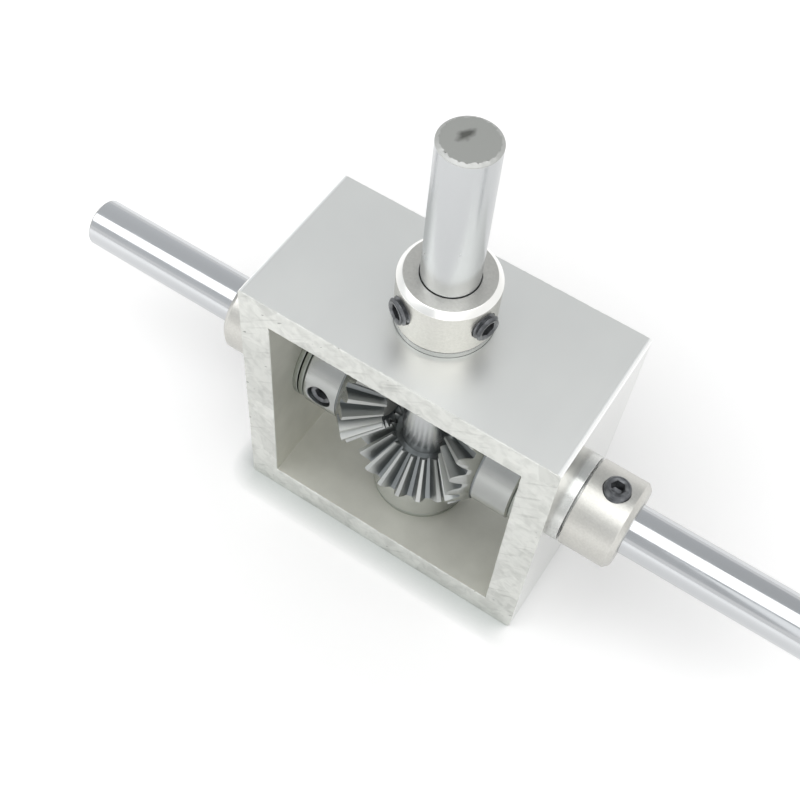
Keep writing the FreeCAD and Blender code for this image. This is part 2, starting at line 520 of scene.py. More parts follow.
@dataclass(frozen=True)
class ExtrudedAluminium(Finish):
    """Aluminium as it leaves the extrusion die: satin, with faint draw lines along the tube."""

    line_width: float = 1.4
    line_length: float = 60.0
    line_range: tuple[float, float] = (0.3, 0.7)
    line_haze: float = 0.01
    cloud: float = 9.0

    def patterns(self, tree: bpy.types.NodeTree, where: bpy.types.NodeSocket) -> Patterns:
        """Add broad draw lines along Y in the gloss, and a faint cloudiness.

        Args:
            tree: the material's tree.
            where: the piece's own coordinates in metres.
        Returns:
            The patterns.
        """
        across = per(self.line_width)
        stretch = add_node(
            tree, "ShaderNodeMapping",
            inputs={"Vector": where, "Scale": (across, per(self.line_length), across)})
        lines = add_node(
            tree, "ShaderNodeTexNoise",
            inputs={"Vector": stretch.outputs["Vector"], "Scale": 1.0, "Detail": 1.0})
        start, end = self.line_range
        gloss = add_node(
            tree, "ShaderNodeMapRange",
            inputs={"Value": lines.outputs["Fac"], "From Min": start, "From Max": end,
                    "To Min": self.roughness - self.line_haze, "To Max": self.roughness + self.line_haze})
        clouds = add_node(
            tree, "ShaderNodeTexNoise", inputs={"Vector": where, "Scale": per(self.cloud), "Detail": 2.0})
        return Patterns(tint=clouds.outputs["Fac"], roughness=gloss.outputs["Result"])


@dataclass(frozen=True)
class SawMark:
    """A mark along the saw's stroke: its size, the noise where it starts and is full, and its strength."""

    length: float
    width: float
    start: float
    full: float
    strength: float


@dataclass(frozen=True)
class SawnAluminium(Finish):
    """Aluminium as a saw leaves it: pale and mottled, with faint slanting scratches and a few nicks."""

    facet: float = 5.0
    facet_blur: float = 0.06
    facet_strength: float = 0.2
    mottle: float = 1.7
    mottle_warp: float = 0.8
    mottle_range: tuple[float, float] = (0.42, 0.7)
    mottle_strength: float = 0.26
    scratch: SawMark = SawMark(length=6.0, width=0.5, start=0.68, full=0.8, strength=0.22)
    nick: SawMark = SawMark(length=1.3, width=0.5, start=0.8, full=0.83, strength=0.8)
    slant: float = 38.0

    def patterns(self, tree: bpy.types.NodeTree, where: bpy.types.NodeSocket) -> Patterns:
        """Add facets, scratches and nicks along the saw's stroke, over a soft mottle.

        Args:
            tree: the material's tree.
            where: the piece's own coordinates in metres.
        Returns:
            The patterns.
        """
        stroke = add_node(
            tree, "ShaderNodeMapping",
            inputs={"Vector": where, "Rotation": (0.0, math.radians(self.slant), 0.0)}).outputs["Vector"]
        marks = []
        for mark in (self.scratch, self.nick):
            across = per(mark.width)
            drawn = add_node(
                tree, "ShaderNodeMapping",
                inputs={"Vector": stroke, "Scale": (per(mark.length), across, across)})
            spots = add_node(
                tree, "ShaderNodeTexNoise",
                inputs={"Vector": drawn.outputs["Vector"], "Scale": 1.0, "Detail": 0.5})
            shown = add_node(
                tree, "ShaderNodeMapRange",
                inputs={"Value": spots.outputs["Fac"], "From Min": mark.start, "From Max": mark.full,
                        "To Max": mark.strength})
            marks.append(shown.outputs["Result"])
        worn = add_node(tree, "ShaderNodeMath", {"operation": "MAXIMUM"}, dict(enumerate(marks)))
        facets = add_node(
            tree, "ShaderNodeTexVoronoi", {"feature": "SMOOTH_F1"},
            {"Vector": stroke, "Scale": per(self.facet), "Smoothness": self.facet_blur})
        grey = add_node(tree, "ShaderNodeSeparateXYZ", inputs={"Vector": facets.outputs["Color"]})
        mottle = add_node(
            tree, "ShaderNodeTexNoise",
            inputs={"Vector": where, "Scale": per(self.mottle), "Detail": 5.0,
                    "Distortion": self.mottle_warp})
        start, full = self.mottle_range
        clouded = add_node(
            tree, "ShaderNodeMapRange",
            inputs={"Value": mottle.outputs["Fac"], "From Min": start, "From Max": full,
                    "To Max": self.mottle_strength})
        level = add_node(
            tree, "ShaderNodeMath", {"operation": "MULTIPLY_ADD"},
            {0: grey.outputs["X"], 1: self.facet_strength, 2: clouded.outputs["Result"]})
        dark = add_node(
            tree, "ShaderNodeMath", {"operation": "ADD", "use_clamp": True},
            {0: level.outputs["Value"], 1: worn.outputs["Value"]})
        raised = add_node(
            tree, "ShaderNodeMath", {"operation": "SUBTRACT"}, {0: 1.0, 1: dark.outputs["Value"]})
        return Patterns(tint=dark.outputs["Value"], relief=raised.outputs["Value"])


@dataclass(frozen=True)
class BlastedAluminium(Finish):
    """Bead-blasted aluminium under clear anodising: pale and matt, with fine lighter specks painted into its
    colour as glints.
    """

    grain: float = 0.16

    def patterns(self, tree: bpy.types.NodeTree, where: bpy.types.NodeSocket) -> Patterns:
        """Add bead dimples, drawn a little coarse so that they show and catch the light one by one, and fine
        specks painted into the colour as glints.

        Args:
            tree: the material's tree.
            where: the piece's own coordinates in metres.
        Returns:
            The patterns.
        """
        dimples = add_node(tree, "ShaderNodeTexVoronoi", inputs={"Vector": where, "Scale": per(self.grain)})
        painted_glints = add_node(tree, "ShaderNodeTexNoise", inputs={"Vector": where, "Scale": per(self.grain * 2)})
        return Patterns(tint=painted_glints.outputs["Fac"], relief=dimples.outputs["Distance"])


@dataclass(frozen=True)
class CroppedSteel(Finish):
    """Bare steel where a shaft was parted off: an even dull grey, with a dark smear near its middle.

    The smear is how many times longer than wide the stain is. Its ragged share and range are in pip radii.
    """

    pip: tuple[float, float, float] = (0.0, 0.0, 0.0)
    pip_radius: float = 0.72
    smear: float = 1.7
    smear_angle: float = 63.0
    ragged: float = 1.1
    ragged_share: float = 2.0
    stain_range: tuple[float, float] = (1.4, 2.3)
    grain: float = 0.9

    def patterns(self, tree: bpy.types.NodeTree, where: bpy.types.NodeSocket) -> Patterns:
        """Add faint scoring, and the stain of the pip, drawn out and with an uneven outline.

        Args:
            tree: the material's tree.
            where: the piece's own coordinates in metres.
        Returns:
            The patterns.
        """
        radius = self.pip_radius * MM
        scoring = add_node(
            tree, "ShaderNodeTexNoise", inputs={"Vector": where, "Scale": per(self.grain), "Detail": 3.0})
        drawn = add_node(
            tree, "ShaderNodeMapping", {"vector_type": "TEXTURE"},
            {"Vector": where, "Location": Vector(self.pip) * MM,
             "Rotation": (0.0, 0.0, math.radians(self.smear_angle)), "Scale": (self.smear, 1.0, 1.0)})
        outline = add_node(
            tree, "ShaderNodeTexNoise",
            inputs={"Vector": drawn.outputs["Vector"], "Scale": per(self.ragged), "Detail": 2.0})
        reach = add_node(
            tree, "ShaderNodeVectorMath", {"operation": "LENGTH"}, {0: drawn.outputs["Vector"]})
        uneven = add_node(
            tree, "ShaderNodeMath", {"operation": "MULTIPLY_ADD"},
            {0: outline.outputs["Fac"], 1: self.ragged_share * radius, 2: reach.outputs["Value"]})
        full, clear = self.stain_range
        stain = add_node(
            tree, "ShaderNodeMapRange",
            inputs={"Value": uneven.outputs["Value"], "From Min": full * radius, "From Max": clear * radius,
                    "To Min": 1.0, "To Max": 0.0})
        return Patterns(tint=stain.outputs["Result"], relief=scoring.outputs["Fac"])


@dataclass(frozen=True)
class CutSteel(Finish):
    """Gear steel straight from the cutter: bright on the lands, and darker down between the teeth, painted as
    the shade there together with an oily film.
    """

    axis: tuple[float, float, float] = (0.0, 0.0, 1.0)
    mark_pitch: float = 0.3
    root_cosine: float = 0.766
    land_cosine: float = 0.66

    def patterns(self, tree: bpy.types.NodeTree, where: bpy.types.NodeSocket) -> Patterns:
        """Add the darkening between the teeth, painted shade with an oily film, by the slope from the place
        where the axes meet, and tool marks by the distance from it.

        Args:
            tree: the material's tree.
            where: the piece's own coordinates in metres.
        Returns:
            The patterns.
        """
        arm = add_node(
            tree, "ShaderNodeVectorMath", {"operation": "SUBTRACT"},
            {0: where, 1: (0.0, 0.0, AXIS_HEIGHT * MM)}).outputs["Vector"]
        reach = add_node(tree, "ShaderNodeVectorMath", {"operation": "LENGTH"}, {0: arm})
        aim = add_node(tree, "ShaderNodeVectorMath", {"operation": "NORMALIZE"}, {0: arm})
        slope = add_node(
            tree, "ShaderNodeVectorMath", {"operation": "DOT_PRODUCT"},
            {0: aim.outputs["Vector"], 1: self.axis})
        # Painted shade with an oily film: the colour darkens from the lands down to the roots, by the slope
        # from the meeting point
        shade_and_oil = add_node(
            tree, "ShaderNodeMapRange",
            inputs={"Value": slope.outputs["Value"], "From Min": self.land_cosine,
                    "From Max": self.root_cosine})
        marks = add_node(
            tree, "ShaderNodeTexNoise", {"noise_dimensions": "1D"},
            {"W": reach.outputs["Value"], "Scale": per(self.mark_pitch), "Detail": 2.0})
        return Patterns(tint=shade_and_oil.outputs["Result"], relief=marks.outputs["Fac"])


# The tube's outside: a satin grey on the flats above and below, and brighter sides that mirror the table
EXTRUDED = ExtrudedAluminium("extruded_aluminium_satin", "#DDDEDC", 0.42, "#E4E5E2")
EXTRUDED_SIDE = replace(EXTRUDED, name="extruded_aluminium_bright", roughness=0.18)
# The tube's inside, which nothing has polished: matt, and painted darker and warmer than the outside as the
# shade within the tube
EXTRUDED_INSIDE = CloudedMetal(
    "extruded_aluminium_matt_painted_shade", "#CBCBC3", 0.58, "#DEDED6", depth=0.004, cloud=4.0, grain=0.3)
# The long rounded edges, painted near white: a painted highlight, a white line of light
EDGE_HIGHLIGHT = CloudedMetal("aluminium_edge_painted_highlight", "#EEEFEE", 0.3, "#F8F9F8")
# The open ends: pale and mottled
SAWN = SawnAluminium("sawn_aluminium_raw", "#DEDFDB", 0.6, "#9A9C98", depth=0.006)
# The collars: warm, with fine specks painted as glints, and a chamfer that a tool has cut bright, painted
# near white on the top collar as a highlight
BLASTED = BlastedAluminium("blasted_aluminium_clear_anodised", "#BAB9B4", 0.36, "#D1D0CB", depth=0.012)
CHAMFER_HIGHLIGHT = CloudedMetal("turned_aluminium_painted_highlight", "#EEEEEB", 0.28, "#F8F8F5")
# The shafts: a mirror with the faintest haze, and one that more hands have dulled
CHROME = CloudedMetal(
    "chrome_plated_steel_ground", "#C3C5C7", 0.1, cloud=4.0, cloud_range=(0.35, 0.75), haze=(0.0, 0.06))
HAZED_CHROME = replace(CHROME, name="chrome_plated_steel_handled", colour="#C1C3C4", roughness=0.22)
# Hubs and rings as a tool's edge leaves them: satin and faintly cloudy, and a darker copy painted as the
# shade on the rings and spacers that sit in shadow
TURNED = CloudedMetal("turned_steel_satin", "#9C9E9C", 0.26, "#AEB0AE")
SHADED_TURNED = CloudedMetal("turned_steel_painted_shade", "#82867F", 0.34, "#969A95")
# The shafts' filed rims: dull and light
RIM = CloudedMetal("filed_steel_edge", "#AEAFAC", 0.6, "#C4C5C3")
# Hardened bearing steel, ground bright, with a slightly uneven gloss from the wheel
GROUND = CloudedMetal(
    "bearing_steel_ground", "#CFD0CE", 0.24, cloud=2.0, cloud_range=(0.3, 0.7), haze=(-0.04, 0.08))
# Steel blackened in a hot bath and oiled: dark and half glossy, worn lighter here and there
BLACKENED = CloudedMetal(
    "black_oxide_steel_oiled", "#535558", 0.3, "#8A8C8F", metallic=0.6,
    cloud=1.2, cloud_detail=4.0, cloud_range=(0.4, 0.8))


def hand_over(obj: bpy.types.Object, node: str, body: str) -> None:
    """Let a finished piece stand for its CAD node.

    Args:
        obj: the piece, in place.
        node: the CAD node that it replaces.
        body: the body that carries it.
    """
    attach(obj, body)
    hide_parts(node)
    LOG.info("%s: %d faces on %s", obj.name, len(obj.data.polygons), body)


class TubeFace(Enum):
    """The kinds of face on the tube, with the places of their finishes in its mesh."""

    LEVEL = 0
    SAWN = 1
    INSIDE = 2
    LONG_EDGE = 3
    SIDE = 4


@dataclass
class Housing:
    """The slice of square tube with its four bearing bores.

    Its sawn ends keep the arcs and the drag of a round blade, and their edges a burr that was broken off.
    The arc and drag depths are shares of the saw's depth. The least, coarse and fine burr are shares of the
    burr, and their steps are per point of the outline.
    """

    wall: float = 5.0
    outer_radius: float = 0.6
    inner_radius: float = 0.15
    bore_radius: float = 7.01
    bore_chamfer: float = 0.04
    side_points: int = 140
    corner_points: int = 6
    face_rows: int = 16
    burr: float = 0.26
    least_burr: float = 0.1
    coarse_burr: float = 0.2
    coarse_step: float = 0.08
    fine_burr: float = 0.5
    fine_step: float = 0.55
    fine_seed: float = 5.0
    edge_seed: float = 10.0
    inner_edge_seed: float = 4.0
    saw_depth: float = 0.04
    saw_centre: tuple[float, float] = (-90.0, 85.0)
    arc_depth: float = 0.3
    arc_width: float = 3.0
    arc_seed: float = 3.7
    drag_depth: float = 0.2
    drag_width: float = 2.5
    drag_seed: float = 11.0

    def outline(self, half: float, radius: float) -> list[Vector]:
        """Find points round a rounded square in X and Z.

        Args:
            half: half of the square's side.
            radius: its corner radius.
        Returns:
            The same number of points whatever the size.
        """
        points = []
        straight = half - radius
        for side in range(4):
            turn = Matrix.Rotation(math.pi / 2 * side, 2)
            for index in range(self.side_points):
                points.append(turn @ Vector((half, straight * (2 * index / self.side_points - 1))))
            for index in range(self.corner_points):
                angle = math.pi / 2 * index / self.corner_points
                corner = Vector((straight + radius * math.cos(angle), straight + radius * math.sin(angle)))
                points.append(turn @ corner)
        return points

    def saw_mark(self, point: Vector, end: int) -> float:
        """Find how deep the saw has bitten at a point of a sawn end.

        Args:
            point: the point in X and Z, from the middle of the tube.
            end: minus one for the front end and one for the back.
        Returns:
            The depth.
        """
        reach = (point - Vector(self.saw_centre)).length
        arcs = noise.noise(Vector((reach / self.arc_width, self.arc_seed * end, 0.0)))
        across = point / self.drag_width
        drag = noise.noise(Vector((across.x, self.drag_seed * end, across.y)))
        return self.saw_depth * (0.5 + self.arc_depth * arcs + self.drag_depth * drag)

    def broken_edge(self, index: int, seed: float) -> float:
        """Find how far the burr has been broken off the sawn edge at a point of the outline.

        Args:
            index: the point's place in the outline.
            seed: a value of the edge's own.
        Returns:
            The distance.
        """
        coarse = noise.noise(Vector((index * self.coarse_step, seed, 0.0)))
        fine = noise.noise(Vector((index * self.fine_step, seed, self.fine_seed)))
        return self.burr * max(self.least_burr, 0.5 + self.coarse_burr * coarse + self.fine_burr * fine)

    def kind_of(self, row: int, index: int) -> TubeFace:
        """Find what kind of face stands at a place of the tube.

        Args:
            row: its row, counted from the outside of the front end through the inside and back.
            index: its place round the tube.
        Returns:
            The kind of face.
        """
        rows_of_end = self.face_rows + 2
        if row == rows_of_end:
            return TubeFace.INSIDE
        if row <= 2 * rows_of_end:
            return TubeFace.SAWN
        side, place = divmod(index, self.side_points + self.corner_points)
        if place >= self.side_points:
            return TubeFace.LONG_EDGE
        return TubeFace.LEVEL if side % 2 else TubeFace.SIDE

    def end_lines(self, end: int, half: float, reach: float) -> list[list[tuple[Vector, float]]]:
        """Find the lines of points over one sawn end, from the outside of the tube to its inside.

        Args:
            end: minus one for the front end and one for the back.
            half: half of the tube's side.
            reach: half of its length.
        Returns:
            Lines of points in X and Z, each with its distance from the middle of the tube.
        """
        outer = self.outline(half, self.outer_radius)
        inner = self.outline(half - self.wall, self.inner_radius)
        places = range(len(outer))
        seed = self.edge_seed * end
        outer_break = [self.broken_edge(place, seed) for place in places]
        inner_break = [self.broken_edge(place, seed + self.inner_edge_seed) for place in places]
        lines = [[(outer[place], reach - outer_break[place]) for place in places]]
        for row in range(self.face_rows + 1):
            line = []
            for place in places:
                across = inner[place] - outer[place]
                start = outer[place] + across * (outer_break[place] / across.length)
                stop = inner[place] - across * (inner_break[place] / across.length)
                point = start.lerp(stop, row / self.face_rows)
                line.append((point, reach - self.saw_mark(point, end)))
            lines.append(line)
        lines.append([(inner[place], reach - inner_break[place]) for place in places])
        return lines

    def build(self) -> bpy.types.Object:
        """Make the tube with sawn ends, then bore it.

        Returns:
            The tube.
        """
        low, high = (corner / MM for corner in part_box("housing"))
        half = (high.x - low.x) / 2
        reach = (high.y - low.y) / 2
        body = bmesh.new()
        rows: list[list[bmesh.types.BMVert]] = []
        for end in (-1, 1):
            for line in self.end_lines(end, half, reach)[::-end]:
                rows.append([body.verts.new((point.x, end * y, point.y + half)) for point, y in line])
        for row, (lower, upper) in enumerate(zip(rows, rows[1:] + rows[:1])):
            for index in range(len(lower)):
                after = (index + 1) % len(lower)
                face = body.faces.new((lower[index], lower[after], upper[after], upper[index]))
                face.material_index = self.kind_of(row, index).value
        tube = to_object("sawn_tube", body, Matrix.Identity(4))
        finishes = {
            TubeFace.LEVEL: EXTRUDED,
            TubeFace.SAWN: SAWN,
            TubeFace.INSIDE: EXTRUDED_INSIDE,
            # The long edges take the near-white painted highlight
            TubeFace.LONG_EDGE: EDGE_HIGHLIGHT,
            TubeFace.SIDE: EXTRUDED_SIDE,
        }
        for kind in TubeFace:
            tube.data.materials.append(finishes[kind].material())
        for direction in (Direction.UP, Direction.RIGHT):
            cut(tube, self.borer(direction, half))
        return tube

    def borer(self, direction: Direction, half: float) -> bpy.types.Object:
        """Make the cutter that bores two opposite walls and chamfers their mouths.

        Args:
            direction: the line that it bores along.
            half: half of the tube's side.
        Returns:
            The cutter.
        """
        wide = self.bore_radius + 2 * self.bore_chamfer
        beyond = half + self.bore_chamfer
        within = half - self.bore_chamfer
        profile = [
            (0.0, -beyond), (wide, -beyond), (self.bore_radius, -within),
            (self.bore_radius, within), (wide, beyond), (0.0, beyond),
        ]
        cutter = to_object("borer", lathe(profile, False), direction.place())
        cutter.data.materials.append(EXTRUDED.material())
        return cutter

    def dress(self) -> None:
        """Build the tube and let it stand for the housing."""
        tube = self.build()
        even_shading(tube)
        hand_over(tube, "housing", "housing")


@dataclass
class SetScrew:
    """A socket set screw with a cut thread, whose ends are measured from the shaft's axis.

    The thread's depth is a share of its pitch, the tip of the root's radius, the socket of the screw's length
    and the drill of the hexagon.
    """

    seat: float
    outer_end: float
    diameter: float = 4.0
    pitch: float = 0.7
    hexagon: float = 2.0
    around: int = 48
    thread_steps: int = 8
    thread_depth_share: float = 0.54
    crest_slope: float = 1.35
    crest_drop: float = 0.1
    end_chamfer: float = 0.35
    tip_share: float = 0.8
    tip_margin: float = 0.05
    end_margin: float = 0.02
    socket_share: float = 0.5
    countersink: float = 0.22
    drill_share: float = 0.5
    drill_shoulder: float = 0.15
    drill_point: float = 0.2

    def crest(self, step: int) -> float:
        """Find the thread's height at a step of its pitch.

        Args:
            step: the step, counted along the screw.
        Returns:
            Zero at the root and one at the crest.
        """
        share = (step % self.thread_steps) / self.thread_steps
        slope = abs(2 * share - 1)
        return min(1.0, max(0.0, self.crest_slope * slope - self.crest_drop))

    def mesh(self) -> bmesh.types.BMesh:
        """Make the screw along +X from the axis, its socket outwards.

        Returns:
            The screw's mesh.
        """
        radius = self.diameter / 2
        root = radius - self.thread_depth_share * self.pitch
        body = bmesh.new()
        columns = []
        steps = int((self.outer_end - self.seat) / self.pitch * self.thread_steps)
        for index in range(self.around + 1):
            angle = 2 * math.pi * index / self.around
            column = [(0.0, self.seat), (root * self.tip_share, self.seat)]
            for step in range(-self.thread_steps, steps + 1):
                turns = step / self.thread_steps + index / self.around
                height = self.seat + self.pitch * turns
                height = min(max(height, self.seat + self.tip_margin), self.outer_end - self.end_margin)
                cone = radius - max(0.0, self.end_chamfer - (self.outer_end - height))
                tail = radius - max(0.0, self.end_chamfer - (height - self.seat))
                column.append((min(root + (radius - root) * self.crest(step), cone, tail), height))
            column += self.socket(angle, radius)
            columns.append([
                body.verts.new((height, reach * math.cos(angle), reach * math.sin(angle)))
                for reach, height in column
            ])
        for first, second in zip(columns, columns[1:]):
            for row in range(len(first) - 1):
                body.faces.new((first[row], second[row], second[row + 1], first[row + 1]))
        return body

    def socket(self, angle: float, radius: float) -> Profile:
        """Find the screw's outer end at one angle, from its rim down into the hexagon socket.

        Args:
            angle: the angle about the screw's axis.
            radius: the screw's radius.
        Returns:
            Points as (distance from the screw's axis, distance from the shaft's axis).
        """
        sixth = math.pi / 3
        off_flat = (angle + sixth / 2) % sixth - sixth / 2
        flat = self.hexagon / 2 / math.cos(off_flat)
        mouth = self.hexagon / math.sqrt(3) + self.countersink
        depth = (self.outer_end - self.seat) * self.socket_share
        floor = self.outer_end - depth
        return [
            (radius - self.end_chamfer, self.outer_end),
            (mouth, self.outer_end),
            (flat, self.outer_end - self.countersink),
            (flat, floor),
            (flat * self.drill_share, floor - self.drill_shoulder),
            (0.0, floor - self.drill_point),
        ]

    def build(
        self, name: str, copies: CopiesRoundAxis, place: Matrix, height: float, angles: tuple[float, ...],
    ) -> bpy.types.Object:
        """Make a screw at each angle about a line.

        Args:
            name: the piece's name.
            copies: the tree that repeats the screw.
            place: the line's place.
            height: how far along the line the screws stand.
            angles: their directions about the line, evenly spaced.
        Returns:
            The screws as one piece.
        """
        screw = to_object(name, self.mesh(), Matrix.Translation((0, 0, height)))
        screw.data.materials.append(BLACKENED.material())
        screw.data.transform(Matrix.Rotation(math.radians(angles[0]), 4, "Z"))
        step = math.radians(angles[1] - angles[0]) if len(angles) > 1 else 0.0
        copies.apply(screw, len(angles), step, BLACKENED.material())
        screw.data.transform(in_metres(place))
        even_shading(screw)
        return screw


@dataclass
class MitreGear:
    """A mitre gear, hub downwards, below the place where the axes meet.

    The addendum and the dedendum are in modules, and angles are in degrees.
    """

    module: float = 1.0
    teeth: int = 20
    pressure_angle: float = 20.0
    addendum: float = 1.0
    dedendum: float = 1.25
    backlash: float = 0.15
    root_width: float = 0.75
    bore_wall: float = 0.85
    bore_radius: float = 4.01
    hub_radius: float = 8.0
    hub_chamfer: float = 0.4
    undercut: float = 0.15
    back_margin: float = 0.1
    flank_steps: int = 6
    edge: float = 0.06
    mesh_phase: float = 7.5
    cone_cosine: float = math.cos(math.pi / 4)

    @property
    def back_apex(self) -> float:
        """How far from the meeting point the back cone comes to its tip."""
        return self.module * self.teeth

    @property
    def hub_start(self) -> float:
        """How far from the meeting point the back cone runs into the hub."""
        return self.back_apex - self.hub_radius

    @property
    def root_length(self) -> float:
        """The length along the back cone from its tip to the bottom of the teeth."""
        return self.back_apex / 2 / self.cone_cosine - self.dedendum * self.module

    def outline(self) -> Profile:
        """Find one tooth and half a gap on each side of it, at the gear's large end.

        The flank is an involute of the equivalent spur gear, whose radii are lengths along the back cone.

        Returns:
            Points as (length along the back cone, angle about the gear's axis).
        """
        spur_radius = self.back_apex / 2 / self.cone_cosine
        pressure = math.radians(self.pressure_angle)
        base = spur_radius * math.cos(pressure)
        tip = spur_radius + self.addendum * self.module
        root = self.root_length
        spread = math.tan(pressure) - pressure
        half = math.pi * self.cone_cosine / (2 * self.teeth) + spread - self.backlash / (4 * spur_radius)
        gap_middle = math.pi / self.teeth
        side = [(root, gap_middle), (root, gap_middle - self.root_width / (2 * root * self.cone_cosine))]
        for step in range(self.flank_steps):
            radius = base + (tip - base) * step / (self.flank_steps - 1)
            turn = math.acos(base / radius)
            side.append((radius, (half - math.tan(turn) + turn) / self.cone_cosine))
        return [(length, -angle) for length, angle in side] + [(tip, 0.0)] + side[::-1]

    def section(self, length: float, hub_end: float) -> Profile:
        """Find the gear's section through a point of the tooth's outline, from the bore round to the bore.

        Args:
            length: the point's length along the back cone.
            hub_end: how far the hub reaches from the meeting point.
        Returns:
            Points as (radius, distance below the meeting point).
        """
        heel_radius = length * self.cone_cosine
        heel_drop = self.back_apex - heel_radius
        root_radius = self.root_length * self.cone_cosine
        root_drop = self.back_apex - root_radius
        small = (self.bore_radius + self.bore_wall) / root_radius
        front = small * root_drop
        return [
            (self.bore_radius, front),
            (small * root_radius, front),
            (small * heel_radius, small * heel_drop),
            (heel_radius, heel_drop),
            (root_radius, root_drop),
            (self.hub_radius + self.undercut, self.hub_start - self.undercut),
            (self.hub_radius - self.undercut, self.hub_start - self.undercut),
            (self.hub_radius - self.undercut, self.hub_start + self.undercut),
            (self.hub_radius, self.hub_start + self.undercut),
            (self.hub_radius, hub_end - self.hub_chamfer),
            (self.hub_radius - self.hub_chamfer, hub_end),
            (self.bore_radius, hub_end),
            (self.bore_radius, front),
        ]

    def sector(self, hub_end: float) -> bmesh.types.BMesh:
        """Make the slice of the gear that carries one tooth, from face to hub.

        Args:
            hub_end: how far the hub reaches from the meeting point.
        Returns:
            The slice, open at its two cut sides.
        """
        body = bmesh.new()
        columns = []
        for length, angle in self.outline():
            columns.append([
                body.verts.new((radius * math.cos(angle), radius * math.sin(angle), -drop))
                for radius, drop in self.section(length, hub_end)
            ])
        for first, second in zip(columns, columns[1:]):
            for row in range(len(first) - 1):
                corners = (first[row], second[row], second[row + 1], first[row + 1])
                places = {tuple(round(value, 6) for value in corner.co) for corner in corners}
                if len(places) > 2:
                    body.faces.new(corners)
        return body

    def place(self, direction: Direction) -> Matrix:
        """Find where the gear goes on a drive line, with its teeth in the gaps of its neighbours.

        Args:
            direction: the drive line.
        Returns:
            The matrix for a gear made hub downwards with a tooth towards +X.
        """
        phase = Matrix.Rotation(math.radians(self.mesh_phase), 4, "Z")
        if direction is Direction.UP:
            return direction.place() @ phase
        half_tooth = Matrix.Rotation(math.pi / self.teeth, 4, "Z")
        return direction.place() @ phase @ Matrix.Rotation(math.pi, 4, "X") @ half_tooth

    def build(
        self, name: str, direction: Direction, hub_end: float, copies: CopiesRoundAxis,
        hole: bpy.types.Object,
    ) -> bpy.types.Object:
        """Make the gear on its line.

        Args:
            name: the piece's name.
            direction: the drive line.
            hub_end: how far the hub reaches from the meeting point.
            copies: the tree that repeats the tooth.
            hole: the cutter of the hub's screw hole, in place.
        Returns:
            The gear.
        """
        gear = to_object(name, self.sector(hub_end), Matrix.Identity(4))
        line = direction.place().to_3x3() @ Vector((0, 0, direction.hub_side))
        finish = CutSteel(
            f"cut_steel_oiled_{direction.value}", "#AFB1AF", 0.42, "#868A8B", depth=0.006, axis=tuple(line))
        gear.data.materials.append(finish.material())
        copies.apply(gear, self.teeth, 2 * math.pi / self.teeth, finish.material())
        gear.data.materials.append(TURNED.material())
        for face in gear.data.polygons:
            beyond_cone = face.center.to_2d().length - face.center.z
            face.material_index = int(beyond_cone > (self.back_apex - self.back_margin) * MM)
        gear.data.transform(in_metres(self.place(direction)))
        cut(gear, hole)
        ease_edges(gear, self.edge)
        even_shading(gear)
        return gear


def plain_ring(
    name: str, node: str, direction: Direction, bore: float, edge: float, finish: Finish,
) -> bpy.types.Object:
    """Make a plain ring on a shaft, as long and as wide as its CAD node.

    Args:
        name: the piece's name.
        node: the CAD node.
        direction: the drive line.
        bore: the radius of its hole.
        edge: the rounding of its corners.
        finish: its finish.
    Returns:
        The ring.
    """
    start, end = direction.along(node)
    radius = half_width(node)
    section = [(bore, start), (radius, start), (radius, end), (bore, end)]
    ring = turned(name, section, direction.place(), edge)
    ring.data.materials.append(finish.material())
    even_shading(ring)
    return ring


@dataclass
class Bearing:
    """A shielded ball bearing: a flanged outer ring in the wall and an inner ring on the shaft."""

    wall: str
    direction: Direction
    finish: Finish
    bore_radius: float = 5.28
    seat_radius: float = 7.0
    flange: float = 0.8
    shield_radius: float = 6.35
    shield_recess: float = 0.08
    edge: float = 0.12

    def outer_profile(self, node: str) -> Profile:
        """Find the outer ring's section, its flange towards the middle of the tube.

        Args:
            node: the CAD node.
        Returns:
            The section, with the shields set back at both faces.
        """
        start, end = self.direction.along(node)
        wide = half_width(node)
        recess = self.shield_recess
        section = [
            (self.bore_radius, start + recess), (self.shield_radius, start + recess),
            (self.shield_radius, start), (wide, start), (wide, start + self.flange),
            (self.seat_radius, start + self.flange), (self.seat_radius, end),
            (self.shield_radius, end), (self.shield_radius, end - recess), (self.bore_radius, end - recess),
        ]
        if start < 0:
            return [(radius, start + end - height) for radius, height in reversed(section)]
        return section

    def dress(self) -> None:
        """Make both rings and let them stand for their CAD nodes."""
        node = f"{self.wall}_bearing_outer_ring"
        ring = turned(f"{self.wall}_outer_race", self.outer_profile(node), self.direction.place(), self.edge)
        ring.data.materials.append(self.finish.material())
        even_shading(ring)
        hand_over(ring, node, "housing")
        node = f"{self.wall}_bearing_inner_ring"
        bore = half_width(f"{self.direction.value}_shaft") + CLEARANCE
        ring = plain_ring(f"{self.wall}_inner_race", node, self.direction, bore, self.edge, GROUND)
        hand_over(ring, node, self.direction.body)


class ShaftFace(Enum):
    """The kinds of face on a shaft, with the places of their finishes in its mesh."""

    PLATED = 0
    BARE = 1
    RIM = 2


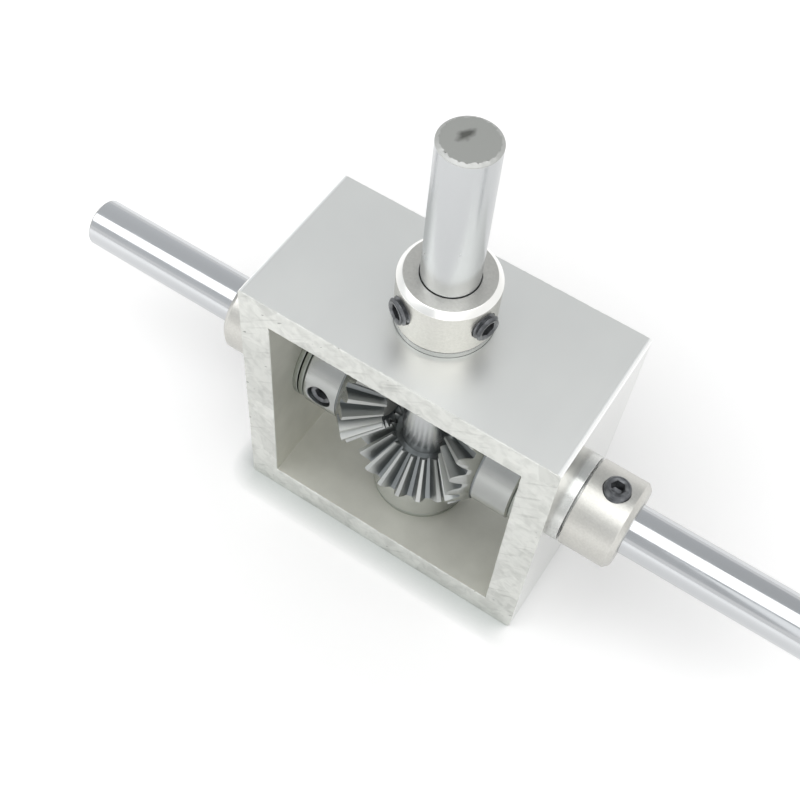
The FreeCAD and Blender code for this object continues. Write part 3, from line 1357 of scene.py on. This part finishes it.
@dataclass
class DriveLine:
    """One shaft with its gear, collar, spacer and set screws.

    Angles are degrees about the line. The lumps and the fine share shape the ragged rim of the free end.
    """

    direction: Direction
    collar_node: str
    collar_screw_node: str
    collar_screw_angles: tuple[float, ...]
    collar_screw_standout: float
    hub_screw_angle: float
    plating: Finish = CHROME
    pip_place: tuple[float, float] = (-0.75, 0.35)
    shaft_radius: float = 4.0
    shaft_chamfer: float = 0.3
    rim_chamfers: int = 3
    relief_radius: float = 3.8
    rim_bite: float = 0.26
    rim_inset: float = 0.6
    coarse_lumps: float = 4.0
    fine_lumps: float = 9.0
    fine_share: float = 0.5
    fine_seed: float = 3.0
    end_margin: float = 0.004
    rim_slope: float = 0.2
    collar_radius: float = 7.0
    collar_bore: float = 4.1
    collar_chamfer: float = 0.8
    chamfer_slopes: tuple[float, float] = (0.4, 0.9)
    hub_screw_inset: float = 0.6
    thread_clearance: float = 0.03
    mouth_depth: float = 0.1
    mouth_width: float = 0.6
    hole_overrun: float = 0.5
    edge: float = 0.1

    @property
    def name(self) -> str:
        """The line's name in the CAD nodes."""
        return self.direction.value

    @property
    def body(self) -> str:
        """The body that everything on this line rides on."""
        return self.direction.body

    def tapped_hole(self, height: float, angle: float, mouth: float) -> bpy.types.Object:
        """Make the cutter of a set screw's hole with a countersunk mouth.

        Args:
            height: how far along the line it stands.
            angle: its direction about the line.
            mouth: the distance of the surface from the line's axis.
        Returns:
            The cutter, in place.
        """
        radius = SetScrew.diameter / 2 + self.thread_clearance
        top = mouth + self.hole_overrun
        profile = [
            (0.0, self.relief_radius), (radius, self.relief_radius), (radius, mouth - self.mouth_depth),
            (radius + self.mouth_width, top), (0.0, top),
        ]
        outwards = Matrix.Rotation(math.radians(angle), 4, "Z") @ Matrix.Rotation(math.pi / 2, 4, "Y")
        place = self.direction.place() @ Matrix.Translation((0, 0, height)) @ outwards
        return to_object("tapped_hole", lathe(profile, False, HOLE_SEGMENTS), place)

    def ragged_rim(self, shaft: bpy.types.Object, end: float) -> None:
        """Eat unevenly into the flat of a shaft's free end, as a parting tool leaves its rim.

        Args:
            shaft: the shaft, in place.
            end: how far its free end stands from the meeting point.
        """
        place = self.direction.place()
        back = place.inverted()
        rim = self.shaft_radius - self.shaft_chamfer
        for vertex in shaft.data.vertices:
            spot = back @ (vertex.co / MM)
            if spot.z < end - self.edge or spot.xy.length < rim - self.edge:
                continue
            aim = spot.xy.normalized()
            coarse = noise.noise(Vector((self.coarse_lumps * aim.x, self.coarse_lumps * aim.y, 0.0)))
            fine = noise.noise(Vector((self.fine_lumps * aim.x, self.fine_lumps * aim.y, self.fine_seed)))
            shift = self.rim_bite * (coarse + self.fine_share * fine - self.rim_inset)
            vertex.co = place @ Vector((*(spot.xy + aim * shift), spot.z)) * MM

    def dress_shaft(self) -> None:
        """Make the ground shaft, with bare steel at both ends and a chamfered, ragged rim at the free one."""
        node = f"{self.name}_shaft"
        start, end = self.direction.along(node)
        radius = self.shaft_radius
        chamfer = self.shaft_chamfer
        profile = [
            (0.0, start), (radius, start), (radius, end - chamfer),
            (radius - chamfer, end), (radius - self.rim_chamfers * chamfer, end), (0.0, end),
        ]
        place = self.direction.place()
        shaft = turned(f"{self.name}_ground_shaft", profile, place, self.edge, closed=False)
        self.ragged_rim(shaft, end)
        pip = place @ Vector((*self.pip_place, end))
        bare = CroppedSteel(
            f"parted_steel_bare_{self.name}", "#AEAFAB", 0.5, "#6A6B67", depth=0.004, pip=tuple(pip))
        finishes = {ShaftFace.PLATED: self.plating, ShaftFace.BARE: bare, ShaftFace.RIM: RIM}
        for kind in ShaftFace:
            shaft.data.materials.append(finishes[kind].material())
        line = place.to_3x3() @ Vector((0, 0, 1))
        back = place.inverted()
        for face in shaft.data.polygons:
            height = (back @ (face.center / MM)).z
            if min(height - start, end - height) < self.end_margin:
                face.material_index = ShaftFace.BARE.value
            elif abs(face.normal.dot(line)) > self.rim_slope:
                face.material_index = ShaftFace.RIM.value
        even_shading(shaft)
        hand_over(shaft, node, self.body)

    def dress_collar(self, copies: CopiesRoundAxis) -> None:
        """Make the collar and its set screws.

        Args:
            copies: the tree that repeats the screw.
        """
        start, end = self.direction.along(self.collar_node)
        middle = (start + end) / 2
        radius = self.collar_radius
        chamfer = self.collar_chamfer
        profile = [
            (self.collar_bore, start), (radius, start), (radius, end - chamfer),
            (radius - chamfer, end), (self.collar_bore, end),
        ]
        collar = turned(f"{self.name}_shaft_collar", profile, self.direction.place(), self.edge)
        collar.data.materials.append(BLASTED.material())
        for angle in self.collar_screw_angles:
            cut(collar, self.tapped_hole(middle, angle, radius))
        # Only the top collar's chamfer takes the near-white finish: a chamfer cut bright, and a painted
        # highlight where the light falls on it
        if self.direction is Direction.UP:
            collar.data.materials.append(CHAMFER_HIGHLIGHT.material())
            lowest, highest = self.chamfer_slopes
            for face in collar.data.polygons:
                face.material_index = int(lowest < face.normal.z < highest)
        even_shading(collar)
        hand_over(collar, self.collar_node, self.body)
        screw = SetScrew(self.relief_radius + CLEARANCE, radius + self.collar_screw_standout)
        screws = screw.build(
            f"{self.name}_collar_socket_screws", copies, self.direction.place(), middle,
            self.collar_screw_angles)
        hand_over(screws, self.collar_screw_node, self.body)

    def dress_gear(self, copies: CopiesRoundAxis) -> None:
        """Make the mitre gear and the set screw in its hub.

        Args:
            copies: the tree that repeats the tooth and the screw.
        """
        gear = MitreGear()
        node = f"{self.name}_gear"
        side = self.direction.hub_side
        hub_end = max(side * reach for reach in self.direction.along(node))
        height = side * (gear.hub_start + hub_end) / 2
        hole = self.tapped_hole(height, self.hub_screw_angle, gear.hub_radius)
        wheel = gear.build(f"{self.name}_mitre_gear", self.direction, hub_end, copies, hole)
        hand_over(wheel, node, self.body)
        screw = SetScrew(self.shaft_radius + CLEARANCE, gear.hub_radius - self.hub_screw_inset)
        screws = screw.build(
            f"{self.name}_hub_socket_screw", copies, self.direction.place(), height, (self.hub_screw_angle,))
        hand_over(screws, f"{node}_set_screw", self.body)

    def dress_spacer(self) -> None:
        """Make the thin ring between the hub and the bearing, which the side lines have."""
        node = f"{self.name}_inner_spacer"
        bore = self.shaft_radius + CLEARANCE
        # The spacer takes the darker turned steel, painted as the shade it sits in
        spacer = plain_ring(f"{self.name}_thin_spacer", node, self.direction, bore, self.edge, SHADED_TURNED)
        hand_over(spacer, node, self.body)

    def dress(self, copies: CopiesRoundAxis) -> None:
        """Make every piece of the line.

        Args:
            copies: the tree that repeats teeth and screws.
        """
        self.dress_shaft()
        self.dress_collar(copies)
        self.dress_gear(copies)
        if self.direction is not Direction.UP:
            self.dress_spacer()


@dataclass
class Studio:
    """A white table under a soft lamp, its paper with a painted contact shadow, and a glowing grey ceiling
    for the chrome to mirror, a painted reflection.

    Powers are in watts and angles in degrees. The camera's aim is shifted aside and above in its own plane.
    """

    floor_size: float = 6000.0
    floor_drop: float = 0.02
    # The paper's glow for seen rays grows with the distance from the object, which paints the paper darker
    # near it
    floor_glow: tuple[float, float] = (0.2, 0.65)
    glow_reach: tuple[float, float] = (34.0, 150.0)
    paper: str = "#EDEDED"
    # The second paper colour is a painted contact shadow near the object; contact is its reach and shade_from
    # its direction
    painted_contact_shadow: str = "#C0C5C3"
    paper_roughness: float = 0.9
    contact: float = 4.5
    contact_samples: int = 8
    contact_full: float = 0.5
    shade_from: tuple[float, float, float] = (0.7, 0.7, 0.15)
    lamp_size: tuple[float, float] = (960.0, 290.0)
    lamp_place: tuple[float, float, float] = (-140.0, -180.0, 400.0)
    lamp_turn: float = 22.0
    lamp_power: float = 1.6
    window_size: float = 520.0
    window_place: tuple[float, float, float] = (340.0, -580.0, 470.0)
    window_power: float = 0.6
    # The ceiling is a painted reflection: it glows in its tints, from the first on the left to the second on
    # the right, and only mirrors see it
    ceiling_height: float = 700.0
    ceiling_size: float = 5200.0
    ceiling_aside: float = -2300.0
    ceiling_fade: tuple[float, float] = (-600.0, 500.0)
    ceiling_tints: tuple[str, str] = ("#DADCDE", "#BEC0C2")
    ambient: float = 0.42
    focal_pixels: float = 1221.0
    frame_pixels: int = 800
    clip: tuple[float, float] = (10.0, 20000.0)
    azimuth: float = 28.0
    elevation: float = 58.0
    roll: float = 6.0
    aside: float = -4.6
    above: float = 1.74
    distance: float = 184.5

    def seen_directly(self, tree: bpy.types.NodeTree) -> bpy.types.NodeSocket:
        """Tell the rays that show the background from those that only light the object.

        Args:
            tree: a material's or the world's tree.
        Returns:
            One for straight, mirrored and refracted rays, and zero for others.
        """
        path = add_node(tree, "ShaderNodeLightPath").outputs
        seen = path["Is Camera Ray"]
        for ray in ("Is Glossy Ray", "Is Transmission Ray"):
            either = add_node(tree, "ShaderNodeMath", {"operation": "MAXIMUM"}, {0: seen, 1: path[ray]})
            seen = either.outputs["Value"]
        return seen

    def plane(self, name: str, size: float, height: float, aside: float = 0.0) -> bpy.types.Object:
        """Make a level square sheet of the studio.

        Args:
            name: its name.
            size: its side.
            height: how high it lies.
            aside: how far its middle lies along X.
        Returns:
            The sheet, marked as part of the stage.
        """
        # The sheet.
        body = bmesh.new()
        bmesh.ops.create_grid(body, x_segments=1, y_segments=1, size=size / 2)
        sheet = to_object(name, body, Matrix.Translation((aside, 0, height)))
        return sheet

    def build_floor(self) -> None:
        """Lay a white paper floor that keeps the object's shadow, with a painted contact shadow where the
        object rests on it and a glow that is weaker near the object.
        """
        floor = self.plane("paper_floor", self.floor_size, -self.floor_drop)
        material = bpy.data.materials.new("white_paper_matt")
        material.use_nodes = True
        tree = material.node_tree
        shader = tree.nodes["Principled BSDF"]
        shader.inputs["Roughness"].default_value = self.paper_roughness
        shader.inputs["Emission Color"].default_value = linear("#FFFFFF")
        # Painted contact shadow: ambient occlusion, its half-sphere tipped towards shade_from, greys the
        # paper's colour and cuts its glow near the object
        x, y, z = Vector(self.shade_from).normalized()
        towards = add_node(tree, "ShaderNodeCombineXYZ", inputs={"X": x, "Y": y, "Z": z})
        openness = add_node(
            tree, "ShaderNodeAmbientOcclusion", {"samples": self.contact_samples},
            {"Distance": self.contact * MM, "Normal": towards.outputs["Vector"]})
        clear = add_node(
            tree, "ShaderNodeMapRange",
            inputs={"Value": openness.outputs["AO"], "From Min": self.contact_full}).outputs["Result"]
        tint = add_node(
            tree, "ShaderNodeMix", {"data_type": "RGBA"},
            {MIX_AMOUNT: clear, MIX_FIRST: linear(self.painted_contact_shadow), MIX_SECOND: linear(self.paper)})
        tree.links.new(tint.outputs[MIX_RESULT], shader.inputs["Base Color"])
        # Painted shade near the object: the glow grows with the distance from the point under the object
        where = add_node(tree, "ShaderNodeTexCoord").outputs["Object"]
        away = add_node(tree, "ShaderNodeVectorMath", {"operation": "LENGTH"}, {0: where})
        near, far = (reach * MM for reach in self.glow_reach)
        low, high = self.floor_glow
        paper = add_node(
            tree, "ShaderNodeMapRange",
            inputs={"Value": away.outputs["Value"], "From Min": near, "From Max": far,
                    "To Min": low, "To Max": high})
        glow = self.seen_directly(tree)
        for share in (paper.outputs["Result"], clear):
            product = add_node(tree, "ShaderNodeMath", {"operation": "MULTIPLY"}, {0: glow, 1: share})
            glow = product.outputs["Value"]
        tree.links.new(glow, shader.inputs["Emission Strength"])
        floor.data.materials.append(material)

    def build_ceiling(self) -> None:
        """Hang a glowing grey ceiling that only mirrored rays meet: a painted reflection, lighter to the left
        and darker to the right, which lights nothing.
        """
        ceiling = self.plane("grey_ceiling", self.ceiling_size, self.ceiling_height, self.ceiling_aside)
        material = bpy.data.materials.new("ceiling_glow_painted_reflection")
        material.use_nodes = True
        tree = material.node_tree
        shader = tree.nodes["Principled BSDF"]
        shader.inputs["Base Color"].default_value = linear("#000000")
        shader.inputs["Emission Strength"].default_value = 1.0
        where = add_node(tree, "ShaderNodeTexCoord").outputs["Object"]
        aside = add_node(tree, "ShaderNodeSeparateXYZ", inputs={"Vector": where}).outputs["X"]
        left, right = (reach * MM for reach in self.ceiling_fade)
        away = add_node(
            tree, "ShaderNodeMapRange", inputs={"Value": aside, "From Min": left, "From Max": right})
        first, second = (linear(tint) for tint in self.ceiling_tints)
        shade = add_node(
            tree, "ShaderNodeMix", {"data_type": "RGBA"},
            {MIX_AMOUNT: away.outputs["Result"], MIX_FIRST: first, MIX_SECOND: second})
        tree.links.new(shade.outputs[MIX_RESULT], shader.inputs["Emission Color"])
        ceiling.data.materials.append(material)
        ceiling.visible_camera = False
        ceiling.visible_diffuse = False
        ceiling.visible_transmission = False
        ceiling.visible_shadow = False

    @staticmethod
    def area_lamp(
        name: str, size: tuple[float, float], place: tuple[float, float, float], power: float, turn: Matrix,
    ) -> None:
        """Hang a soft lamp that the camera does not see.

        Args:
            name: its name.
            size: its sides.
            place: where it hangs.
            power: its power in watts.
            turn: its rotation from facing straight down.
        """
        lamp = bpy.data.lights.new(name, "AREA")
        lamp.shape = "RECTANGLE"
        lamp.size, lamp.size_y = (side * MM for side in size)
        lamp.energy = power
        obj = bpy.data.objects.new(name, lamp)
        obj.matrix_world = Matrix.Translation(Vector(place) * MM) @ turn
        obj.visible_camera = False
        bpy.context.scene.collection.objects.link(obj)

    def build_light(self) -> None:
        """Hang a soft lamp overhead and a window to the front right, and set the white of the room."""
        turn = Matrix.Rotation(math.radians(self.lamp_turn), 4, "Z")
        self.area_lamp("softbox", self.lamp_size, self.lamp_place, self.lamp_power, turn)
        aim = (Vector(self.window_place) - Vector((0, 0, AXIS_HEIGHT))).to_track_quat("Z", "Y")
        window = (self.window_size, self.window_size)
        self.area_lamp("window", window, self.window_place, self.window_power, aim.to_matrix().to_4x4())
        world = bpy.data.worlds.new("white_room")
        world.use_nodes = True
        tree = world.node_tree
        strength = add_node(
            tree, "ShaderNodeMapRange",
            inputs={"Value": self.seen_directly(tree), "To Min": self.ambient, "To Max": 1.0})
        background = tree.nodes["Background"]
        background.inputs["Color"].default_value = linear("#FFFFFF")
        tree.links.new(strength.outputs["Result"], background.inputs["Strength"])
        bpy.context.scene.world = world

    def build_camera(self) -> None:
        """Set the camera at the photograph's viewing angle."""
        around = math.radians(self.azimuth)
        up_angle = math.radians(self.elevation)
        tilt = math.radians(self.roll)
        level = Vector((math.cos(around), math.sin(around), 0))
        outwards = Vector((math.sin(around), -math.cos(around), 0))
        back = outwards * math.cos(up_angle) + Vector((0, 0, math.sin(up_angle)))
        upright = back.cross(level)
        right = level * math.cos(tilt) + upright * math.sin(tilt)
        top = upright * math.cos(tilt) - level * math.sin(tilt)
        centre = Vector((0, 0, AXIS_HEIGHT)) + right * self.aside + top * self.above
        lens = bpy.data.cameras.new("camera")
        lens.lens = self.focal_pixels * lens.sensor_width / self.frame_pixels
        lens.clip_start, lens.clip_end = (reach * MM for reach in self.clip)
        camera = bpy.data.objects.new("camera", lens)
        turn = Matrix((right, top, back)).transposed()
        camera.matrix_world = Matrix.Translation((centre + back * self.distance) * MM) @ turn.to_4x4()
        bpy.context.scene.collection.objects.link(camera)
        bpy.context.scene.camera = camera

    def build(self) -> None:
        """Set up the whole studio."""
        self.build_floor()
        self.build_ceiling()
        self.build_light()
        self.build_camera()
        bpy.context.scene.view_settings.view_transform = "Standard"


def main() -> None:
    """Build the studio and every piece of the gearbox, and log each piece's face count."""
    logging.basicConfig(level=logging.INFO, format="%(name)s %(message)s")
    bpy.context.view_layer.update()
    copies = CopiesRoundAxis()
    Studio().build()
    Housing().dress()
    # The bearings are alike, and their finishes follow the light on them: the top one satin, the bottom and
    # left ones the darker copy as painted shade, and only the right one, which stands out of the wall, ground
    # steel
    for wall, direction, finish in (
        ("top", Direction.UP, TURNED),
        ("bottom", Direction.UP, SHADED_TURNED),
        ("left", Direction.LEFT, SHADED_TURNED),
        ("right", Direction.RIGHT, GROUND),
    ):
        Bearing(wall, direction, finish).dress()
    vertical = DriveLine(
        Direction.UP, "top_collar", "top_collar_set_screws", collar_screw_angles=(241.0, 344.0),
        collar_screw_standout=0.9, hub_screw_angle=75.0, plating=HAZED_CHROME)
    vertical.dress(copies)
    for direction, hub_angle in ((Direction.LEFT, 176.0), (Direction.RIGHT, 310.0)):
        collar = f"{direction.value}_collar"
        line = DriveLine(
            direction, collar, f"{collar}_set_screw", collar_screw_angles=(direction.making_angle(88.0),),
            collar_screw_standout=1.0, hub_screw_angle=direction.making_angle(hub_angle))
        line.dress(copies)


if __name__ == "__main__":
    main()
